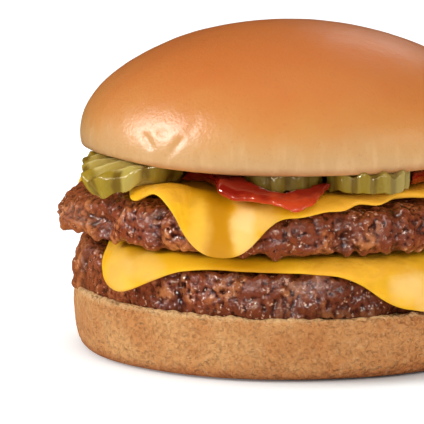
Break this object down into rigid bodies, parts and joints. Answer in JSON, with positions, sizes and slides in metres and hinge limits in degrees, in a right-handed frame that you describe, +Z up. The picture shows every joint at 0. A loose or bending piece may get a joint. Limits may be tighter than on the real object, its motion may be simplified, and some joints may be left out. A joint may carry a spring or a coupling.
{
  "type": "double cheeseburger",
  "caption": "Round bun stacked with beef patties, melted cheese slices, ketchup and crinkle-cut pickle chips, resting on its flat underside.",
  "frame": {"origin": "middle of the heel's flat base, on the surface it rests on", "axes": "+Z up through the stack, -Y towards the front, +X to the right seen from the front"},
  "size_m": [0.1144, 0.1136, 0.081],
  "materials": {
    "crown": "satin baked crust",
    "heel": "dull baked crust with fine pores",
    "patty": "moist browned minced beef",
    "cheese": "smooth melted cheese",
    "ketchup": "wet and glossy",
    "pickle": "wet pickled cucumber"
  },
  "bodies": {
    "root": {"bun_heel": "heel", "patty_lower": "patty", "cheese_lower": "cheese", "patty_upper": "patty", "cheese_upper": "cheese", "pickle_left": "pickle", "pickle_front": "pickle", "pickle_front_right": "pickle", "pickle_back_right": "pickle", "pickle_back": "pickle", "ketchup": "ketchup", "bun_crown": "crown"}
  },
  "joints": []
}
